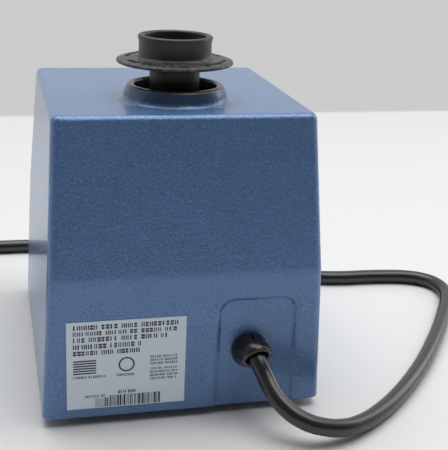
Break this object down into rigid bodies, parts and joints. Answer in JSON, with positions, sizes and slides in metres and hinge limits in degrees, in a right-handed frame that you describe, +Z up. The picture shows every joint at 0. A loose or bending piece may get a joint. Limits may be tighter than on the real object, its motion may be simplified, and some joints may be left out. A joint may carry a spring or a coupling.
{
  "type": "vortex mixer",
  "caption": "Touch-operated vortex mixer with a tapered cast housing, a rubber mixing cup on an eccentric crank, and a coiled mains cord.",
  "frame": {"origin": "centre of the object's footprint box, on the surface that the feet stand on, measured without the cord", "axes": "+Z up; -Y is the front; +Y is the rear, where the cord leaves; +X is the left side as seen from the rear"},
  "size_m": [0.3767, 0.2508, 0.1588],
  "materials": {
    "paint": "blue hammertone, glossy",
    "zinc_plate": "zinc-plated sheet",
    "foot_rubber": "matt",
    "steel": "machined",
    "label": "satin printed foil, no lettering",
    "lamination": "stacked sheet",
    "copper_winding": "enamelled copper wire",
    "cast_aluminium": "die cast",
    "bronze": "sintered bronze",
    "nylon": "natural nylon",
    "cup_rubber": "matt moulded rubber",
    "black_plastic": "moulded nylon",
    "cord_pvc": "smooth PVC jacket",
    "brass_pin": "bare brass"
  },
  "bodies": {
    "base": {"housing": "paint", "base_plate": "zinc_plate", "foot_1": "foot_rubber", "foot_2": "foot_rubber", "foot_3": "foot_rubber", "foot_4": "foot_rubber", "base_screw_1": "steel", "base_screw_2": "steel", "base_screw_3": "steel", "base_screw_4": "steel", "motor_screw_1": "steel", "motor_screw_2": "steel", "motor_screw_3": "steel", "motor_screw_4": "steel", "motor_bolt_1": "steel", "motor_bolt_2": "steel", "motor_bolt_3": "steel", "motor_bolt_4": "steel", "rating_label": "label", "front_plate": "label", "stator_stack": "lamination", "upper_winding": "copper_winding", "lower_winding": "copper_winding", "upper_end_bell": "cast_aluminium", "lower_end_bell": "cast_aluminium", "upper_bushing": "bronze", "lower_bushing": "bronze", "thrust_guide": "nylon", "return_spring": "steel", "switch_body": "black_plastic", "switch_bracket": "zinc_plate", "lever_pin": "steel", "terminal_block": "nylon", "line_lead": "black_plastic", "neutral_lead": "nylon", "strain_relief": "black_plastic", "strain_relief_clip": "black_plastic", "cord_tube": "cord_pvc", "cord_coil": "cord_pvc", "plug_body": "cord_pvc", "plug_blade_1": "brass_pin", "plug_blade_2": "brass_pin", "plug_ground_pin": "brass_pin"},
    "press_carriage": {"thrust_button": "nylon"},
    "rotor": {"motor_shaft": "steel", "rotor_core": "lamination", "cooling_fan": "nylon", "crank_hub": "steel", "hub_set_screw": "steel", "bearing_inner_ring": "steel", "bearing_cage": "bronze"},
    "head": {"bearing_outer_ring": "steel", "drive_head": "cast_aluminium", "splash_disc": "cup_rubber"},
    "cup": {"mixing_cup": "cup_rubber"},
    "lever": {"switch_lever": "steel"},
    "plunger": {"switch_plunger": "nylon"}
  },
  "joints": [
    {"name": "touch_press", "type": "slide", "parent": "base", "child": "press_carriage", "axis": [0, 0, -1], "range_m": [0, 0.0025], "stiffness_N_per_m": 1800, "springref_m": -0.006, "deforming": ["return_spring"]},
    {"name": "rotor_spin", "type": "hinge", "parent": "press_carriage", "child": "rotor", "pos_m": [0, 0.032, 0.075], "axis": [0, 0, 1], "continuous": true},
    {"name": "crank_bearing", "type": "hinge", "parent": "rotor", "child": "head", "pos_m": [0, 0.0298, 0.13], "axis": [0, 0, 1], "continuous": true},
    {"name": "cup_pull", "type": "slide", "parent": "head", "child": "cup", "axis": [0, 0, 1], "range_m": [0, 0.025]},
    {"name": "lever_pivot", "type": "hinge", "parent": "base", "child": "lever", "pos_m": [0.027, 0.032, 0.021], "axis": [0, -1, 0], "range_deg": [0, 7.8]},
    {"name": "plunger_slide", "type": "slide", "parent": "base", "child": "plunger", "axis": [0, 0, -1], "range_m": [0, 0.001]}
  ],
  "couplings": [
    {"joint": "crank_bearing", "follows": "rotor_spin", "ratio": -1},
    {"joint": "lever_pivot", "follows": "touch_press", "rad_per_m": 54},
    {"joint": "plunger_slide", "follows": "touch_press", "ratio": 0.39}
  ]
}
